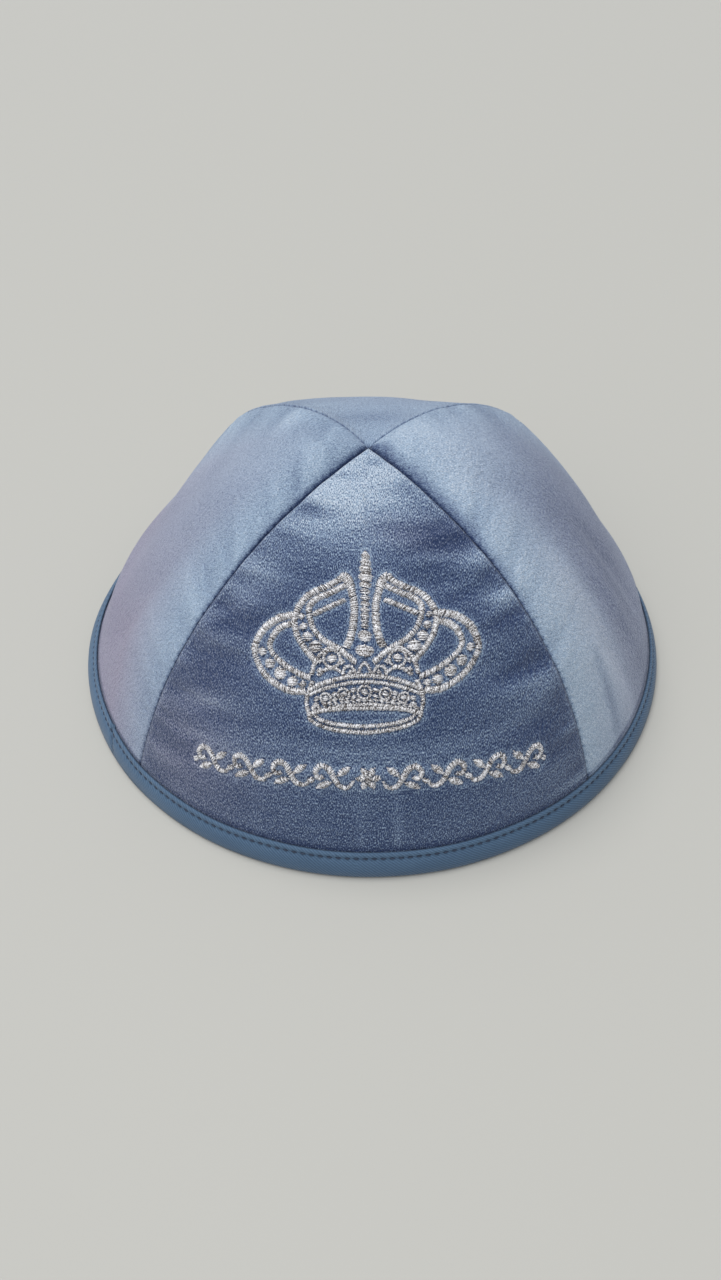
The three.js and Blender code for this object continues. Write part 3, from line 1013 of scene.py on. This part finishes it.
def crownStitches():
    rows = []
    for width, points in crown["pairedLines"]:
        run = satinRun(points, width)
        rows += [run, mirrored(run)]
    for x, y, radius in crown["pairedDots"]:
        dot = satinDot(x, y, radius)
        rows += [dot, mirrored(dot)]
    for x, y, radius, flatness in crown["middleDots"]:
        rows.append(satinDot(x, y, radius, flatness))
    counts = crown["curvePoints"]
    for x, y, radius, width in crown["rings"]:
        ring = satinRun(arc(x, y, radius, radius, 0, 360, counts["ring"]), width)
        rows += [ring, mirrored(ring)]
    x, y, radius, width = crown["middleRing"]
    rows.append(satinRun(arc(x, y, radius, radius, 0, 360, counts["ring"]), width))
    half = crown["bandHalf"]
    for middle, end, width in crown["band"]:
        shares = np.linspace(-1, 1, counts["band"])
        rows.append(satinRun([(x * half, middle + (end - middle) * x * x) for x in shares], width))
    middle, end, count, radius = crown["beads"]
    for x in np.linspace(-crown["beadReach"], crown["beadReach"], count):
        rows.append(satinDot(x * half, middle + (end - middle) * x * x, radius))
    for name, start in (("footOval", 0), ("innerOval", 180)):
        across, up, middle, width = crown[name]
        rows.append(satinRun(arc(0, middle, across, up, start, 360, counts[name]), width))
    heights, widths = np.array(crown["spire"]).T

    def lobes(share):
        return np.interp(heights[0] + share * (heights[-1] - heights[0]), heights, widths)

    rows.append(satinRun([(0, heights[0]), (0, heights[4]), (0, heights[-1])], lobes))
    flat = np.vstack(rows)
    turn = math.radians(crown["turn"])
    turned = flat.copy()
    for x, y in ((0, 1), (2, 3)):
        turned[:, x] = crown["place"][0] + flat[:, x] * math.cos(turn) - flat[:, y] * math.sin(turn)
        turned[:, y] = crown["place"][1] + flat[:, x] * math.sin(turn) + flat[:, y] * math.cos(turn)
    return turned


# The border of scrolls under the crown. The curl, leaves and berry of one scroll are mirrored
border = {
    "middle": 2.5,
    "halfLength": 42,
    "height": 24.6,
    "drop": 4.4,  # how much lower its ends lie
    "scrolls": 4,
    "firstScroll": 7.6,
    "spacing": 9.9,
    "stroke": 1.15,
    "strokeShares": (0.5, 1.0, 1.1, 1.0, 0.75),  # of the stroke's width, along the curl
    "curl": [(-4.3, -0.6), (-3.2, -2.2), (-1.3, -2.1), (0.0, -0.3), (1.2, 1.8)]
    + [(3.0, 2.5), (4.3, 1.2), (3.7, -0.3), (2.4, 0.1)],
    # foot and tip of each leaf, and its width
    "leaves": [
        ((0.7, -1.1), (3.9, -2.7), 1.5),
        ((-0.8, 0.4), (-3.3, 2.5), 1.5),
    ],
    "leafRoundness": 0.8,
    "berry": (5.2, -0.9, 0.55),
    "centre": 0.6,
    "petals": 6,
    "petal": (0.7, 2.7, 1.45),  # where a petal starts and ends, and its width
}


def satinLeaf(foot, tip, width):
    foot, tip = np.array(foot), np.array(tip)
    least = embroidery["leastWidth"]

    def shape(share):
        return least + (width - least) * np.sin(math.pi * share.clip(0, 1)) ** border["leafRoundness"]

    return satinRun([foot, (foot + tip) / 2, tip], shape)


def borderStitches():
    def stroke(share):
        shares = border["strokeShares"]
        return border["stroke"] * np.interp(share, np.linspace(0, 1, len(shares)), shares)

    scroll = [satinRun(border["curl"], stroke)]
    scroll += [satinLeaf(*leaf) for leaf in border["leaves"]]
    scroll = np.vstack([*scroll, satinDot(*border["berry"])])
    rows = [satinDot(0, 0, border["centre"])]
    near, far, width = border["petal"]
    for turn in np.arange(border["petals"]) * 2 * math.pi / border["petals"]:
        way = np.array([math.cos(turn), math.sin(turn)])
        rows.append(satinLeaf(way * near, way * far, width))
    for number in range(border["scrolls"]):
        moved = scroll + np.array([border["firstScroll"] + number * border["spacing"], 0] * 2)
        rows += [moved, mirrored(moved)]
    flat = np.vstack(rows)
    for x, y in ((0, 1), (2, 3)):
        flat[:, y] += border["height"] - border["drop"] * (flat[:, x] / border["halfLength"]) ** 2
        flat[:, x] += border["middle"]
    return flat


def sewOn(name, flat, finish, seed):
    chance = np.random.default_rng(seed)
    count = len(flat)
    flat = flat + chance.normal(0, embroidery["scatter"], flat.shape)
    u1, v1, u2, v2 = flat.T * mm
    starts = onFront(u1, v1, -embroidery["sunk"])
    ends = onFront(u2, v2, -embroidery["sunk"])
    u, v = (u1 + u2) / 2, (v1 + v2) / 2
    step = embroidery["normalStep"]
    upwards = onFront(u, v + step, 0) - onFront(u, v - step, 0)
    sideways = onFront(u + step, v, 0) - onFront(u - step, v, 0)
    ups = unit(np.cross(sideways, upwards))
    size = np.linalg.norm(ends - starts, axis=1)
    short = embroidery["shortArch"]
    arch = embroidery["arch"] * (short + (1 - short) * np.minimum(1, size / embroidery["fullArch"]))
    arch = arch * chance.uniform(*embroidery["archRange"], count)
    radius = embroidery["threadRadius"] * chance.uniform(*embroidery["radiusRange"], count)
    tone = chance.normal(*embroidery["tone"], count)
    dark = chance.random(count) < embroidery["darkShare"]
    tone = np.where(dark, tone - embroidery["darker"], tone)
    makeStitches(name, starts, ends, ups, arch, radius, tone, finish)


# The cloth sinks a little under the stitches, and its pile lies flat and bright beside them
besideStitches = {
    "sink": 0.28 * mm,
    "sinkWidth": 0.9 * mm,
    "brushed": 0.36,
    "brushedPlace": 1.0 * mm,
    "brushedWidth": 0.40 * mm,
}


def pressedBy(flat):
    centres = onFront(*(flat.reshape(-1, 2, 2).mean(axis=1).T * mm), 0)
    tree = KDTree(len(centres))
    for number, place in enumerate(centres):
        tree.insert(place, number)
    tree.balance()

    def press(places):
        distance = np.array([tree.find(place)[2] for place in places])
        sunk = np.exp(-((distance / besideStitches["sinkWidth"]) ** 2))
        flattened = (distance - besideStitches["brushedPlace"]) / besideStitches["brushedWidth"]
        return besideStitches["sink"] * sunk, besideStitches["brushed"] * np.exp(-(flattened**2))

    return press


def makeTapeStitches(finish):
    middle = np.arange(stitchCount) * 2 * math.pi / stitchCount
    reach = 0.5 * tape["stitchLength"] / rimRadius
    sides = []
    for offset, way in ((tape["stitchOut"], 1), (innerFace - tape["stitchIn"], -1)):
        ends = []
        for angle in (middle - reach, middle + reach):
            line = tape["stitchLine"] + tapeWave(angle)
            radius, height = besideWall(np.mod(angle, 2 * math.pi), line, offset)
            ends.append(aroundAxis(radius, angle, height))
        ups = way * aroundAxis(1, middle, np.full(stitchCount, tape["stitchLean"]))
        sides.append((*ends, ups))
    starts, stops, ups = (np.vstack(rows) for rows in zip(*sides))
    total = len(starts)
    arch = np.full(total, tape["stitchArch"])
    radius = np.full(total, tape["stitchRadius"])
    tone = np.linspace(0, 1, total)
    makeStitches("tape_stitches", starts, stops, ups, arch, radius, tone, finish)


crownFlat = crownStitches()
borderFlat = borderStitches()
press = pressedBy(np.vstack([crownFlat, borderFlat]))
for panel in panels["order"]:
    makePanel(panel, press if panel == "front" else None)
makeTape(twillFinish("tape_twill"))
makeTapeStitches(sewingFinish("tape_thread"))
silver = silverFinish("silver_thread")
sewOn("crown_embroidery", crownFlat, silver, embroidery["seed"])
sewOn("border_embroidery", borderFlat, silver, embroidery["seed"] + 1)

# Floor, light and camera
studio = {
    "floorSize": 6.0,
    "floor": {"Base Color": rgba(0.48, 0.48, 0.45), "Roughness": 0.6, "Specular IOR Level": 0.3},
    "skyColour": rgba(0.92, 0.95, 1.0),
    "skyStrength": 0.50,
    # name, where it shines from, how broad it looks in degrees, its strength and colour
    "lamps": [
        ("top_light", (-0.25, 0.30, 0.95), 45, 2.1, (1.0, 0.98, 0.96)),
        ("front_light", (-0.6, -0.8, 0.7), 80, 0.55, (1.0, 0.97, 0.94)),
    ],
}
view = {
    "elevation": 47.4,
    "turn": 3.75,
    "roll": 1.34,
    "distance": 249 * mm,
    "target": (-1.9 * mm, -17.2 * mm, 12.3 * mm),
    "lens": 26,
    "clipStart": 10 * mm,
}


def makeStudio():
    ground = bmesh.new()
    bmesh.ops.create_grid(ground, x_segments=1, y_segments=1, size=studio["floorSize"] / 2)
    mesh = meshFrom(ground, "floor")
    mesh.materials.append(Finish("floor").done(studio["floor"]))
    addObject("floor", mesh)
    world = bpy.data.worlds.new("sky")
    world.use_nodes = True
    sky = world.node_tree.nodes["Background"]
    sky.inputs["Color"].default_value = studio["skyColour"]
    sky.inputs["Strength"].default_value = studio["skyStrength"]
    bpy.context.scene.world = world
    for name, place, breadth, power, colour in studio["lamps"]:
        lamp = addObject(name, bpy.data.lights.new(name, "SUN"))
        lamp.data.angle = math.radians(breadth)
        lamp.data.energy = power
        lamp.data.color = colour
        lamp.location = place
        lamp.rotation_mode = "QUATERNION"
        lamp.rotation_quaternion = (-Vector(place)).to_track_quat("-Z", "Y")


def makeCamera():
    camera = addObject("camera", bpy.data.cameras.new("camera"))
    rise = math.radians(view["elevation"])
    turn = math.radians(view["turn"])
    level = Vector((-math.sin(turn), math.cos(turn), 0))
    ahead = level * math.cos(rise) - Vector((0, 0, math.sin(rise)))
    camera.location = Vector(view["target"]) - ahead * view["distance"]
    aim = ahead.to_track_quat("-Z", "Y")
    aim.rotate(Quaternion(ahead, math.radians(view["roll"])))
    camera.rotation_mode = "QUATERNION"
    camera.rotation_quaternion = aim
    camera.data.lens = view["lens"]
    camera.data.clip_start = view["clipStart"]
    bpy.context.scene.camera = camera


makeStudio()
makeCamera()
bpy.context.scene.view_settings.view_transform = "Standard"
bpy.context.view_layer.update()
